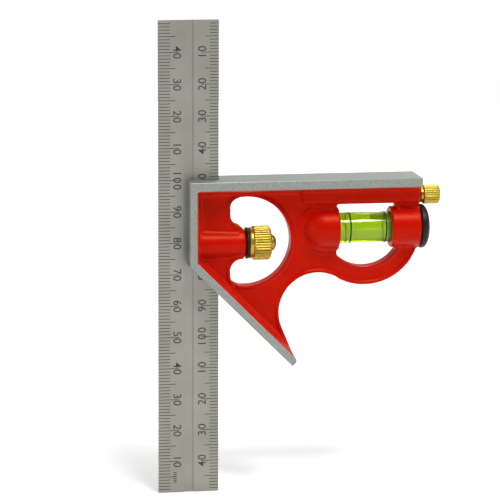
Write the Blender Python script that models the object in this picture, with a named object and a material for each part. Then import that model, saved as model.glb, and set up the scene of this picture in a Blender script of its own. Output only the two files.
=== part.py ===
"""A six inch combination square: cast head with a level vial, sliding blade, clamp and scriber.

Frame: origin on the 90 degree face of the head, at mid length and mid depth.
+X runs along the 90 degree face towards the scriber, +Z is up out of the 90 degree face,
the blade hangs along Z, and the front of the head faces -Y.  The front and back are alike.
All the numbers below are millimetres; MM turns them into metres when a mesh is made.
"""
import bpy
import bmesh
from math import acos, atan2, cos, pi, sin, sqrt, tan
from mathutils import Vector

MM = 0.001

# ---- driving dimensions -------------------------------------------------------------------
HEAD_LENGTH = 74.0            # the 90 degree face
HEAD_DEPTH = 15.0             # front rim to back rim
BLADE_LENGTH = 150.0
BLADE_WIDTH = 19.0
BLADE_THICKNESS = 1.0
BLADE_BELOW = 100.0           # blade below the 90 degree face
BLADE_INSIDE = 10.0           # how much of the blade's width sits in the head
FIT = 0.1                     # running clearance on each side of a moving piece
SEAT = 0.05                   # clearance of a fixed piece in its seat

# ---- worked out from them -----------------------------------------------------------------
HALF_DEPTH = HEAD_DEPTH / 2
ORIGIN_X = HEAD_LENGTH / 2    # heads are laid out from their left face, then moved by this
RIM_TOP = 2.8                 # widths of the bare machined border
RIM_LEFT = 2.3
RIM_MITRE = 2.4
RIM_DRAFT = 1.5               # how far the border's inner wall spreads on its way to the web
WEB_HALF = 1.9                # half thickness of the web
LIP_HALF = 2.4                # half thickness of the bead round the openings
LIP_WIDTH = 1.0

MITRE_DROP = 26.4             # height of the left face, where the 45 degree face starts
TIP_REACH = 91.7              # x + depth below the top, at the end of the 45 degree face

VIAL_X = 56.5                 # middle of the vial
VIAL_Z = -16.4                # axis of the vial
WINDOW_RADIUS = 12.2
LOBE_RADIUS = 18.0            # outline round the vial
THROAT_X = 41.4               # centre of the hollow under the vial
THROAT_Z = -42.6
THROAT_RADIUS = 12.4
THROAT_TURN = 22.5            # degrees past level where the hollow runs off straight

BOLT_Z = -20.5                # axis of the clamp
BOLT_RADIUS = 2.5
BOLT_SHANK_RADIUS = 2.0       # M4
BOLT_TRAVEL = 0.875           # towards the blade, when the nut is slackened
BOLT_SHOULDER_X = 12.0
BOLT_BOSS_END_X = 18.4
BOLT_BOSS_RADIUS_START = 4.8
BOLT_BOSS_RADIUS_END = 4.05
SPRING_BORE_RADIUS = 3.0

HOLE_X = 18.6                 # centre of the C shaped opening
HOLE_Z = -19.6
HOLE_RADIUS = 14.15
HOLE_LEFT_X = 13.5

BLADE_CENTRE_X = BLADE_INSIDE - BLADE_WIDTH / 2
GROOVE_WIDTH = 3.0
GROOVE_DEPTH = 0.4

VIAL_RADIUS = 4.8
VIAL_BORE_RADIUS = VIAL_RADIUS + SEAT
VIAL_CHAMBER_RADIUS = 3.9
VIAL_LEFT_X = 42.2
VIAL_RIGHT_X = 72.6
VIAL_CHAMBER_LEFT_X = 45.5
VIAL_BOSS_RADIUS = 6.65
VIAL_BOSS_FACE_X = 48.0
VIAL_BOSS_CENTRE_X = 43.9     # centre of its round end
VIAL_HOUSING_X = 64.7
RING_GAP = 11.4               # distance between the two index rings
RING_MIDDLE_X = 57.2          # midway between the two rings
BUBBLE_X = 61.6               # where the bubble rests
BUBBLE_LENGTH = 6.4
BUBBLE_RADIUS = 1.2
BUBBLE_Z = VIAL_Z + VIAL_CHAMBER_RADIUS - 0.2 - BUBBLE_RADIUS

SCRIBER_Z = -6.3
SCRIBER_RADIUS = 1.0
SCRIBER_BAR_LEFT_X = 36.0
SCRIBER_BAR_BOTTOM = -8.4
SCRIBER_BAR_HALF = 3.6
SCRIBER_TIP_X = 39.0
SCRIBER_BUSH_LEFT_X = 66.5
SCRIBER_BUSH_RADIUS = 1.75
KNOB_RADIUS = 3.05
KNOB_LEFT_X = HEAD_LENGTH + 0.4
KNOB_RIGHT_X = 80.7

NUT_RADIUS = 5.4
NUT_RIBS = 40
KNOB_RIBS = 28


# ---- small geometry helpers ---------------------------------------------------------------
def arc(centre_x, centre_z, radius, start, end, steps):
    """Points on an arc; angles in degrees, counter-clockwise from +X."""
    points = []
    for i in range(steps + 1):
        angle = (start + (end - start) * i / steps) * pi / 180
        points.append((centre_x + radius * cos(angle), centre_z + radius * sin(angle)))
    return points


def rounded(corners, steps=4):
    """Corners given as (x, z, radius) become a polygon with those corners rounded."""
    points = []
    count = len(corners)
    for i in range(count):
        here = Vector(corners[i][:2])
        radius = corners[i][2]
        if radius == 0:
            points.append(tuple(here))
            continue
        back = (Vector(corners[i - 1][:2]) - here).normalized()
        ahead = (Vector(corners[(i + 1) % count][:2]) - here).normalized()
        half = back.angle(ahead) / 2
        run = radius / tan(half)
        centre = here + (back + ahead).normalized() * (radius / sin(half))
        first = here + back * run - centre
        sweep = (here + ahead * run - centre).angle_signed(first)
        for k in range(steps + 1):
            turn = sweep * k / steps
            x = first.x * cos(turn) - first.y * sin(turn)
            z = first.x * sin(turn) + first.y * cos(turn)
            points.append((centre.x + x, centre.y + z))
    return points


def to_object(name, mesh_builder):
    """Closes a bmesh into a named object, in metres and in the part's frame."""
    bmesh.ops.recalc_face_normals(mesh_builder, faces=mesh_builder.faces)
    for vertex in mesh_builder.verts:
        vertex.co = (vertex.co - Vector((ORIGIN_X, 0, 0))) * MM
    mesh = bpy.data.meshes.new(name)
    mesh_builder.to_mesh(mesh)
    mesh_builder.free()
    thing = bpy.data.objects.new(name, mesh)
    bpy.context.scene.collection.objects.link(thing)
    return thing


def loft(name, outlines):
    """Skins a stack of outlines [(y, [(x, z), ...]), ...] and closes both ends."""
    builder = bmesh.new()
    loops = []
    for y, outline in outlines:
        loops.append([builder.verts.new((x, y, z)) for x, z in outline])
    count = len(loops[0])
    for lower, upper in zip(loops, loops[1:]):
        for i in range(count):
            j = (i + 1) % count
            builder.faces.new((lower[i], lower[j], upper[j], upper[i]))
    builder.faces.new(loops[0])
    builder.faces.new(loops[-1])
    return to_object(name, builder)


def prism(name, outline, y_start, y_end):
    """An outline in the XZ plane, pulled along Y."""
    return loft(name, [(y_start, outline), (y_end, outline)])


def box(name, x_span, y_span, z_span):
    """A box from three (low, high) spans."""
    corners = [(x_span[0], z_span[0]), (x_span[1], z_span[0]),
               (x_span[1], z_span[1]), (x_span[0], z_span[1])]
    return prism(name, corners, y_span[0], y_span[1])


def ring_of(builder, x, axis_z, radii):
    """A ring of points about an axis along X, or the one point where it meets the axis."""
    if radii[0] == 0:
        return [builder.verts.new((x, 0, axis_z))]
    ring = []
    for k, radius in enumerate(radii):
        angle = 2 * pi * k / len(radii)
        ring.append(builder.verts.new((x, radius * sin(angle), axis_z + radius * cos(angle))))
    return ring


def skin(builder, pairs, count):
    """Joins neighbouring rings with faces; a ring of one point gives a fan."""
    for first, second in pairs:
        for k in range(count):
            j = (k + 1) % count
            if len(first) == 1:
                builder.faces.new((first[0], second[k], second[j]))
            elif len(second) == 1:
                builder.faces.new((first[k], second[0], first[j]))
            else:
                builder.faces.new((first[k], second[k], second[j], first[j]))


def turned(name, profile, axis_z, segments=40):
    """A profile [(x, radius), ...] turned about an axis along X.

    The profile is a closed loop away from the axis, or it starts and ends on the axis.
    """
    builder = bmesh.new()
    rings = [ring_of(builder, x, axis_z, [radius] * segments) for x, radius in profile]
    pairs = list(zip(rings, rings[1:]))
    if profile[0][1] != 0:
        pairs.append((rings[-1], rings[0]))
    skin(builder, pairs, segments)
    return to_object(name, builder)


def combine(target, others, operation):
    """Adds or cuts the other objects into the target, one after another, and drops them."""
    for other in others:
        modifier = target.modifiers.new("combine", "BOOLEAN")
        modifier.operation = operation
        modifier.solver = "EXACT"
        modifier.object = other
        bpy.context.view_layer.update()
        graph = bpy.context.evaluated_depsgraph_get()
        result = bpy.data.meshes.new_from_object(target.evaluated_get(graph))
        target.modifiers.clear()
        target.data = result
        bpy.data.objects.remove(other)
    return target


def cleaned(thing):
    """Welds the slivers a cut leaves behind."""
    builder = bmesh.new()
    builder.from_mesh(thing.data)
    bmesh.ops.remove_doubles(builder, verts=builder.verts, dist=0.002 * MM)
    bmesh.ops.dissolve_degenerate(builder, edges=builder.edges, dist=0.002 * MM)
    builder.to_mesh(thing.data)
    builder.free()
    return thing


def material(name, colour, metallic, roughness, transmission=0.0):
    """One Principled material."""
    made = bpy.data.materials.new(name)
    made.use_nodes = True
    made.diffuse_color = (*colour, 1.0)
    shader = made.node_tree.nodes["Principled BSDF"]
    shader.inputs["Base Color"].default_value = (*colour, 1.0)
    shader.inputs["Metallic"].default_value = metallic
    shader.inputs["Roughness"].default_value = roughness
    shader.inputs["Transmission Weight"].default_value = transmission
    return made


def finish(thing, surface, smooth=False):
    """Gives a piece its material and its shading."""
    thing.data.materials.clear()
    thing.data.materials.append(surface)
    for face in thing.data.polygons:
        face.use_smooth = smooth
    return thing


def smooth_by_angle(thing, limit=30.0):
    """Smooth shading on round faces, sharp where two faces meet at more than the limit."""
    for face in thing.data.polygons:
        face.use_smooth = True
    builder = bmesh.new()
    builder.from_mesh(thing.data)
    for edge in builder.edges:
        edge.smooth = edge.calc_face_angle(pi) < limit * pi / 180
    builder.to_mesh(thing.data)
    builder.free()
    return thing


# ---- the head -----------------------------------------------------------------------------
def head_outline():
    """The outside of the head, counter-clockwise from the lower end of the left face."""
    toward = Vector((THROAT_X - VIAL_X, THROAT_Z - VIAL_Z))
    meet = atan2(toward.y, toward.x) * 180 / pi
    lobe_drop = -acos((HEAD_LENGTH - VIAL_X) / LOBE_RADIUS) * 180 / pi
    turn = THROAT_TURN * pi / 180
    run_x = THROAT_X - THROAT_RADIUS * cos(turn)
    run_z = THROAT_Z - THROAT_RADIUS * sin(turn)
    run = (TIP_REACH - (run_x - run_z)) / (sin(turn) + cos(turn))
    tip_low_x = (TIP_REACH - MITRE_DROP) / 2
    outline = rounded([(0, -MITRE_DROP / 2, 0),
                       (0, -MITRE_DROP, 0.6),
                       (tip_low_x, -MITRE_DROP - tip_low_x, 0.35),
                       (run_x + run * sin(turn), run_z - run * cos(turn), 0.35),
                       (run_x, run_z, 0)])[1:-1]
    outline += arc(THROAT_X, THROAT_Z, THROAT_RADIUS, 180 + THROAT_TURN, meet + 180, 18)
    outline += arc(VIAL_X, VIAL_Z, LOBE_RADIUS, meet, lobe_drop, 16)[1:]
    outline += rounded([(HEAD_LENGTH, -5, 0), (HEAD_LENGTH, 0, 0.3), (0, 0, 0.7),
                        (0, -MITRE_DROP / 2, 0)])[1:-1]
    return outline


def pocket_outline(spread):
    """The area inside the bare border, drawn far past the open sides of the head."""
    left = RIM_LEFT + spread
    top = -RIM_TOP - spread
    mitre = MITRE_DROP - (RIM_MITRE + spread) * sqrt(2)
    far = HEAD_LENGTH + 20
    return rounded([(left, top, 0.5 + spread),
                    (left, -mitre - left, 0.5 + spread),
                    (far, -mitre - far, 0),
                    (far, top, 0)])


def opening_outline():
    """The C shaped opening that gives fingers room round the clamp nut."""
    start = acos((HOLE_LEFT_X + 3.0 - HOLE_X) / HOLE_RADIUS) * 180 / pi
    outline = arc(HOLE_X, HOLE_Z, HOLE_RADIUS, -start, start, 44)
    outline += arc(HOLE_LEFT_X + 3.0, HOLE_Z + 10.7, 3.0, 110, 185, 6)
    outline += [(HOLE_LEFT_X + 1.3, BOLT_Z + 7.5), (HOLE_LEFT_X + 3.1, BOLT_Z + 6.4)]
    outline += [(BOLT_BOSS_END_X - 0.6, BOLT_Z + 4.6), (BOLT_BOSS_END_X - 0.6, BOLT_Z - 4.0)]
    outline += [(HOLE_LEFT_X + 2.2, BOLT_Z - 4.7), (HOLE_LEFT_X + 0.9, BOLT_Z - 6.4)]
    outline += arc(HOLE_LEFT_X + 3.0, HOLE_Z - 10.7, 3.0, 175, 250, 6)
    return outline


def window_outline(growth):
    """The round window over the vial, cut level along its top by the scriber bar."""
    radius = WINDOW_RADIUS + growth
    rise = SCRIBER_BAR_BOTTOM + 0.4 + growth - VIAL_Z
    start = acos(rise / radius) * 180 / pi
    return arc(VIAL_X, VIAL_Z, radius, 90 + start, 450 - start, 44)


def lower_bead_outline():
    """The raised bead that follows the lower edge of the head."""
    toward = Vector((THROAT_X - VIAL_X, THROAT_Z - VIAL_Z))
    meet = atan2(toward.y, toward.x) * 180 / pi
    start = 180 + THROAT_TURN
    outer = arc(THROAT_X, THROAT_Z, THROAT_RADIUS, start, meet + 180, 18)
    outer += arc(VIAL_X, VIAL_Z, LOBE_RADIUS, meet, -24, 14)[1:]
    inner = arc(THROAT_X, THROAT_Z, THROAT_RADIUS + LIP_WIDTH, start, meet + 180, 18)
    inner += arc(VIAL_X, VIAL_Z, LOBE_RADIUS - LIP_WIDTH, meet, -24, 14)[1:]
    turn = THROAT_TURN * pi / 180
    reach = 9.0
    first = (outer[0][0] + reach * sin(turn), outer[0][1] - reach * cos(turn))
    last = (inner[0][0] + reach * sin(turn), inner[0][1] - reach * cos(turn))
    return [first] + outer + inner[::-1] + [last]


def opening_bead_outline():
    """The raised bead round the C shaped opening."""
    left = HOLE_LEFT_X - LIP_WIDTH
    radius = HOLE_RADIUS + LIP_WIDTH
    start = acos((left + 3.0 - HOLE_X) / radius) * 180 / pi
    outline = arc(HOLE_X, HOLE_Z, radius, -start, start, 44)
    outline += [(left, HOLE_Z + 11.0), (left, HOLE_Z - 11.0)]
    return outline


def vial_boss():
    """The round nosed boss that takes the blind end of the vial."""
    profile = []
    for i in range(11):
        angle = pi - i * pi / 20
        radius = VIAL_BOSS_RADIUS * sin(angle) if i else 0
        profile.append((VIAL_BOSS_CENTRE_X + VIAL_BOSS_RADIUS * cos(angle), radius))
    profile += [(VIAL_BOSS_FACE_X - 0.4, VIAL_BOSS_RADIUS),
                (VIAL_BOSS_FACE_X, VIAL_BOSS_RADIUS - 0.4), (VIAL_BOSS_FACE_X, 0)]
    return turned("vial boss", profile, VIAL_Z, 40)


def vial_housing():
    """The boss at the open end of the vial."""
    radius = VIAL_BOSS_RADIUS - 0.15
    return turned("vial housing",
                  [(VIAL_HOUSING_X, 0), (VIAL_HOUSING_X, radius - 0.4),
                   (VIAL_HOUSING_X + 0.4, radius), (HEAD_LENGTH - 0.3, radius),
                   (HEAD_LENGTH, radius - 0.3), (HEAD_LENGTH, 0)], VIAL_Z, 40)


def clamp_boss():
    """The tapered boss that guides the clamp bolt."""
    return turned("clamp boss",
                  [(0.5, 0), (0.5, BOLT_BOSS_RADIUS_START),
                   (BOLT_BOSS_END_X - 0.4, BOLT_BOSS_RADIUS_END),
                   (BOLT_BOSS_END_X, BOLT_BOSS_RADIUS_END - 0.4), (BOLT_BOSS_END_X, 0)],
                  BOLT_Z, 40)


def scriber_bar():
    """The bar under the 90 degree face that the scriber is kept in."""
    builder = bmesh.new()
    loops = []
    low = SCRIBER_BAR_BOTTOM
    for x, shrink in ((SCRIBER_BAR_LEFT_X, 1.2), (SCRIBER_BAR_LEFT_X + 1.2, 0.0), (HEAD_LENGTH, 0.0)):
        half = SCRIBER_BAR_HALF - shrink
        bottom = low + shrink
        loops.append([builder.verts.new((x, y, z)) for y, z in
                      ((-half, -1.5), (-half, bottom + 0.6), (-half + 0.6, bottom),
                       (half - 0.6, bottom), (half, bottom + 0.6), (half, -1.5))])
    for first, second in zip(loops, loops[1:]):
        for i in range(6):
            j = (i + 1) % 6
            builder.faces.new((first[i], first[j], second[j], second[i]))
    builder.faces.new(loops[0])
    builder.faces.new(loops[-1])
    return to_object("scriber bar", builder)


def head_cuts():
    """Everything drilled or milled into the casting."""
    slot_half = BLADE_THICKNESS / 2 + FIT
    slot = box("slot", (-5, BLADE_INSIDE + FIT), (-slot_half, slot_half), (-70, 10))
    bolt_bore = turned("bolt bore",
                       [(-5, 0), (-5, BOLT_RADIUS + FIT), (BOLT_SHOULDER_X - 0.2, BOLT_RADIUS + FIT),
                        (BOLT_SHOULDER_X - 0.2, SPRING_BORE_RADIUS), (30, SPRING_BORE_RADIUS),
                        (30, 0)], BOLT_Z, 40)
    vial_bore = turned("vial bore",
                       [(VIAL_LEFT_X - SEAT, 0), (VIAL_LEFT_X - SEAT, VIAL_BORE_RADIUS),
                        (90, VIAL_BORE_RADIUS), (90, 0)], VIAL_Z, 48)
    scriber_bore = turned("scriber bore",
                          [(SCRIBER_TIP_X - 0.5, 0), (SCRIBER_TIP_X - 0.5, SCRIBER_RADIUS + SEAT),
                           (SCRIBER_BUSH_LEFT_X - SEAT, SCRIBER_RADIUS + SEAT),
                           (SCRIBER_BUSH_LEFT_X - SEAT, SCRIBER_BUSH_RADIUS + SEAT),
                           (90, SCRIBER_BUSH_RADIUS + SEAT), (90, 0)], SCRIBER_Z, 24)
    return [slot, bolt_bore, vial_bore, scriber_bore]


def is_machined(face):
    """True for the faces that are ground bare: the border and the three working faces."""
    centre = face.center / MM + Vector((ORIGIN_X, 0, 0))
    normal = face.normal
    on_border = abs(abs(centre.y) - HALF_DEPTH) < 0.02 and abs(normal.y) > 0.9
    on_top = centre.z > -0.25 and normal.z > 0.3
    on_left = centre.x < 0.25 and normal.x < -0.3
    on_mitre = abs(centre.x + centre.z + MITRE_DROP) < 0.3 and normal.x < -0.3
    return on_border or on_top or on_left or on_mitre


def head_casting(paint, bare):
    """The casting, with its border left bare and everything else painted."""
    outline = head_outline()
    head = prism("head_casting", outline, -HALF_DEPTH, HALF_DEPTH)
    for side in (-1, 1):
        pocket = loft("pocket", [(side * WEB_HALF, pocket_outline(RIM_DRAFT)),
                                 (side * (HALF_DEPTH + 1),
                                  pocket_outline(-RIM_DRAFT / (HALF_DEPTH - WEB_HALF)))])
        combine(head, [pocket], "DIFFERENCE")
    beads = [prism("bead", opening_bead_outline(), -LIP_HALF, LIP_HALF),
             prism("bead", window_outline(LIP_WIDTH), -LIP_HALF, LIP_HALF),
             prism("bead", lower_bead_outline(), -LIP_HALF, LIP_HALF)]
    combine(head, beads, "UNION")
    openings = [prism("opening", opening_outline(), -20, 20),
                prism("window", window_outline(0), -20, 20)]
    combine(head, openings, "DIFFERENCE")
    combine(head, [scriber_bar(), vial_boss(), vial_housing(), clamp_boss()], "UNION")
    combine(head, head_cuts(), "DIFFERENCE")
    cleaned(head)
    smooth_by_angle(head)
    head.data.materials.clear()
    head.data.materials.append(paint)
    head.data.materials.append(bare)
    for face in head.data.polygons:
        face.material_index = 1 if is_machined(face) else 0
    return head


# ---- the blade and its clamp --------------------------------------------------------------
def blade(steel):
    """The rule, with the groove the clamp bolt hooks into."""
    left = BLADE_INSIDE - BLADE_WIDTH
    half = BLADE_THICKNESS / 2
    bottom = -BLADE_BELOW
    top = BLADE_LENGTH - BLADE_BELOW
    rule = prism("blade", rounded([(left, bottom, 0.5), (BLADE_INSIDE, bottom, 0.5),
                                   (BLADE_INSIDE, top, 0.5), (left, top, 0.5)], 3), -half, half)
    groove = box("groove",
                 (BLADE_CENTRE_X - GROOVE_WIDTH / 2, BLADE_CENTRE_X + GROOVE_WIDTH / 2),
                 (-half - 1, -half + GROOVE_DEPTH), (bottom - 5, top + 5))
    combine(rule, [groove], "DIFFERENCE")
    return finish(rule, steel)


def drawbolt(steel):
    """The clamp bolt: a threaded shank, a flat for the blade, and a hook in the groove."""
    end = BOLT_TRAVEL + 0.1
    bolt = turned("drawbolt",
                  [(end, 0), (end, BOLT_RADIUS), (BOLT_SHOULDER_X, BOLT_RADIUS),
                   (BOLT_SHOULDER_X, BOLT_SHANK_RADIUS), (26.2, BOLT_SHANK_RADIUS),
                   (26.6, BOLT_SHANK_RADIUS - 0.4), (26.6, 0)], BOLT_Z, 40)
    face = -BLADE_THICKNESS / 2 - FIT
    flat = box("flat", (-3, BLADE_INSIDE + BOLT_TRAVEL + 2 * FIT), (face, 5),
               (BOLT_Z - 5, BOLT_Z + 5))
    combine(bolt, [flat], "DIFFERENCE")
    groove_right = BLADE_CENTRE_X + GROOVE_WIDTH / 2
    hook = box("hook", (groove_right - FIT / 2 - 1.8, groove_right - FIT / 2),
               (face - 0.5, -BLADE_THICKNESS / 2 + GROOVE_DEPTH - FIT),
               (BOLT_Z - 1.6, BOLT_Z + 1.6))
    combine(bolt, [hook], "UNION")
    cleaned(bolt)
    return finish(smooth_by_angle(bolt), steel, True)


def drawbolt_spring(steel):
    """The coil spring that pushes the bolt off the blade when the nut is slackened."""
    wire = 0.25
    coil = 2.45
    turns = 6
    start = BOLT_SHOULDER_X + 0.45
    length = 5.7
    around = 20
    sides = 6
    builder = bmesh.new()
    rings = []
    for i in range(turns * around + 1):
        angle = 2 * pi * i / around
        x = start + length * i / (turns * around)
        ring = []
        for k in range(sides):
            tilt = 2 * pi * k / sides
            reach = coil + wire * cos(tilt)
            ring.append(builder.verts.new((x + wire * sin(tilt), reach * sin(angle),
                                           BOLT_Z + reach * cos(angle))))
        rings.append(ring)
    for first, second in zip(rings, rings[1:]):
        for k in range(sides):
            j = (k + 1) % sides
            builder.faces.new((first[k], first[j], second[j], second[k]))
    builder.faces.new(rings[0])
    builder.faces.new(rings[-1])
    return finish(to_object("drawbolt_spring", builder), steel, True)


def clamp_washer(rubber):
    """The black washer between the boss and the nut."""
    left = BOLT_BOSS_END_X + 0.1
    right = left + 1.25
    outer = 5.0
    inner = BOLT_SHANK_RADIUS + FIT
    washer = turned("clamp_washer",
                    [(left, inner), (left, outer - 0.3), (left + 0.3, outer),
                     (right - 0.2, outer), (right, outer - 0.2), (right, inner)], BOLT_Z, 40)
    return finish(smooth_by_angle(washer), rubber, True)


def knurled(name, profile, axis_z, ribs, depth, knurl_span):
    """A turned piece whose rim is cut into straight ribs over part of its length."""
    builder = bmesh.new()
    rings = []
    for x, radius in profile:
        cut = depth if radius and knurl_span[0] <= x <= knurl_span[1] else 0
        rings.append(ring_of(builder, x, axis_z, [radius, radius - cut] * ribs))
    skin(builder, list(zip(rings, rings[1:])), 2 * ribs)
    return to_object(name, builder)


def clamp_nut(brass):
    """The knurled clamp nut: smooth collar, ribbed rim, domed nose, blind threaded bore."""
    left = BOLT_BOSS_END_X + 1.45
    rib_left = left + 1.5
    rib_right = 26.9
    nut = knurled("clamp_nut",
                  [(left, 0), (left, 4.6), (left + 0.3, 4.9), (rib_left - 0.1, 4.9),
                   (rib_left, NUT_RADIUS), (rib_right - 0.9, NUT_RADIUS),
                   (rib_right, NUT_RADIUS - 1.9), (rib_right, 2.9), (27.6, 2.6), (28.1, 1.8),
                   (28.35, 0.9), (28.4, 0)],
                  BOLT_Z, NUT_RIBS, 0.3, (rib_left, rib_right - 0.8))
    bore = turned("thread", [(10, 0), (10, BOLT_SHANK_RADIUS + FIT), (26.75, BOLT_SHANK_RADIUS + FIT),
                             (26.75, 0)], BOLT_Z, 40)
    combine(nut, [bore], "DIFFERENCE")
    return finish(cleaned(nut), brass)


# ---- the level vial -----------------------------------------------------------------------
def vial_barrel(acrylic):
    """The clear barrel, bored from its right end."""
    wall = VIAL_CHAMBER_RADIUS
    barrel = turned("vial_barrel",
                    [(VIAL_LEFT_X, 0), (VIAL_LEFT_X, VIAL_RADIUS), (VIAL_RIGHT_X, VIAL_RADIUS),
                     (VIAL_RIGHT_X, wall), (VIAL_CHAMBER_LEFT_X, wall), (VIAL_CHAMBER_LEFT_X, 0)],
                    VIAL_Z, 48)
    return finish(smooth_by_angle(barrel), acrylic, True)


def vial_plug(plastic):
    """The plug that seals the liquid in."""
    radius = VIAL_CHAMBER_RADIUS - SEAT
    plug = turned("vial_plug", [(VIAL_RIGHT_X - 3.4, 0), (VIAL_RIGHT_X - 3.4, radius),
                                (VIAL_RIGHT_X - 0.2, radius), (VIAL_RIGHT_X - 0.2, 0)], VIAL_Z, 48)
    return finish(smooth_by_angle(plug), plastic, True)


def bubble_profile(radius, length):
    """Half lengths and radii along a round ended bubble."""
    points = []
    for i in range(9):
        angle = pi / 2 * i / 8
        points.append((length / 2 - radius + radius * sin(angle), radius * cos(angle)))
    return points


def vial_liquid(spirit):
    """The tinted spirit; a channel along its top is where the bubble runs."""
    radius = VIAL_CHAMBER_RADIUS - SEAT
    left = VIAL_CHAMBER_LEFT_X + SEAT
    right = VIAL_RIGHT_X - 3.4 - SEAT
    liquid = turned("vial_liquid", [(left, 0), (left, radius), (right, radius), (right, 0)],
                    VIAL_Z, 48)
    channel = box("channel", (left + 1.0, right - 1.0), (-1.75, 1.75),
                  (VIAL_Z + 1.2, VIAL_Z + radius + 1))
    combine(liquid, [channel], "DIFFERENCE")
    return finish(smooth_by_angle(cleaned(liquid)), spirit, True)


def vial_bubble(air):
    """The bubble, resting against the top of the chamber."""
    front = bubble_profile(BUBBLE_RADIUS, BUBBLE_LENGTH)
    profile = [(BUBBLE_X - x, r) for x, r in front][::-1]
    profile += [(BUBBLE_X + x, r) for x, r in front]
    profile[0] = (profile[0][0], 0)
    profile[-1] = (profile[-1][0], 0)
    bubble = turned("vial_bubble", profile, BUBBLE_Z, 24)
    return finish(bubble, air, True)


def index_ring(name, x, ink):
    """One of the two black lines round the barrel."""
    inner = VIAL_RADIUS + 0.02
    outer = inner + 0.12
    ring = turned(name, [(x - 0.2, inner), (x - 0.2, outer), (x + 0.2, outer), (x + 0.2, inner)],
                  VIAL_Z, 48)
    return finish(smooth_by_angle(ring), ink, True)


def vial_end_cap(rubber):
    """The domed black cap over the open end of the housing."""
    left = HEAD_LENGTH + 0.15
    cap = turned("vial_end_cap",
                 [(VIAL_RIGHT_X + 0.15, 0), (VIAL_RIGHT_X + 0.15, VIAL_RADIUS - 0.05),
                  (left, VIAL_RADIUS - 0.05), (left, 6.6), (left + 0.35, 6.95),
                  (left + 1.3, 6.8), (left + 2.2, 6.1), (left + 2.8, 4.6), (left + 3.1, 2.4),
                  (left + 3.15, 0)], VIAL_Z, 40)
    return finish(smooth_by_angle(cap, 50), rubber, True)


# ---- the scriber --------------------------------------------------------------------------
def scriber_bush(brass):
    """The sleeve that grips the scriber."""
    inner = SCRIBER_RADIUS + SEAT
    bush = turned("scriber_bush",
                  [(SCRIBER_BUSH_LEFT_X, inner), (SCRIBER_BUSH_LEFT_X, SCRIBER_BUSH_RADIUS),
                   (HEAD_LENGTH, SCRIBER_BUSH_RADIUS), (HEAD_LENGTH, inner)], SCRIBER_Z, 24)
    return finish(smooth_by_angle(bush), brass, True)


def scriber_pin(steel):
    """The hardened pin, pointed at its inner end."""
    pin = turned("scriber_pin",
                 [(SCRIBER_TIP_X, 0), (SCRIBER_TIP_X + 0.1, 0.15), (SCRIBER_TIP_X + 4.0, SCRIBER_RADIUS),
                  (KNOB_RIGHT_X - 2.0, SCRIBER_RADIUS), (KNOB_RIGHT_X - 2.0, 0)], SCRIBER_Z, 24)
    return finish(smooth_by_angle(pin), steel, True)


def scriber_knob(brass):
    """The knurled knob on the end of the scriber."""
    rib_left = KNOB_LEFT_X + 0.9
    knob = knurled("scriber_knob",
                   [(KNOB_LEFT_X, 0), (KNOB_LEFT_X, 2.5), (rib_left - 0.1, 2.5),
                    (rib_left, KNOB_RADIUS), (KNOB_RIGHT_X - 0.9, KNOB_RADIUS),
                    (KNOB_RIGHT_X - 0.25, KNOB_RADIUS - 0.5), (KNOB_RIGHT_X, KNOB_RADIUS - 1.1),
                    (KNOB_RIGHT_X, 0)], SCRIBER_Z, KNOB_RIBS, 0.22,
                   (rib_left, KNOB_RIGHT_X - 0.5))
    socket = turned("socket", [(60, 0), (60, SCRIBER_RADIUS + SEAT),
                               (KNOB_RIGHT_X - 1.9, SCRIBER_RADIUS + SEAT),
                               (KNOB_RIGHT_X - 1.9, 0)], SCRIBER_Z, 24)
    combine(knob, [socket], "DIFFERENCE")
    return finish(cleaned(knob), brass)


# ---- the whole tool -----------------------------------------------------------------------
def build():
    """Makes every piece, then gives each moving one an origin on its own axis."""
    for old in list(bpy.data.objects):
        bpy.data.objects.remove(old)
    paint = material("red_enamel", (0.62, 0.01, 0.01), 0.0, 0.25)
    bare = material("machined_iron", (0.42, 0.43, 0.40), 0.9, 0.4)
    steel = material("satin_steel", (0.60, 0.59, 0.55), 0.9, 0.35)
    dark = material("blued_steel", (0.16, 0.16, 0.17), 0.8, 0.4)
    brass = material("brass", (0.70, 0.50, 0.16), 0.95, 0.28)
    rubber = material("black_rubber", (0.02, 0.02, 0.02), 0.0, 0.5)
    acrylic = material("clear_acrylic", (0.75, 0.85, 0.20), 0.0, 0.05, 0.6)
    spirit = material("green_spirit", (0.45, 0.70, 0.02), 0.0, 0.05, 0.5)
    air = material("bubble_air", (0.85, 0.95, 0.60), 0.0, 0.05, 0.6)
    ink = material("index_ink", (0.01, 0.01, 0.01), 0.0, 0.6)

    head_casting(paint, bare)
    moving = [(blade(steel), BLADE_CENTRE_X, 0.0),
              (drawbolt(dark), BOLT_BOSS_END_X, BOLT_Z),
              (clamp_nut(brass), BOLT_BOSS_END_X + 1.45, BOLT_Z),
              (scriber_pin(steel), HEAD_LENGTH, SCRIBER_Z),
              (scriber_knob(brass), HEAD_LENGTH, SCRIBER_Z),
              (vial_bubble(air), BUBBLE_X, BUBBLE_Z)]
    drawbolt_spring(steel)
    clamp_washer(rubber)
    vial_barrel(acrylic)
    vial_plug(rubber)
    vial_liquid(spirit)
    index_ring("index_ring_left", RING_MIDDLE_X - RING_GAP / 2, ink)
    index_ring("index_ring_right", RING_MIDDLE_X + RING_GAP / 2, ink)
    vial_end_cap(rubber)
    scriber_bush(brass)
    for thing, x, z in moving:
        point = Vector((x - ORIGIN_X, 0, z)) * MM
        for vertex in thing.data.vertices:
            vertex.co -= point
        thing.location = point


build()
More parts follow.
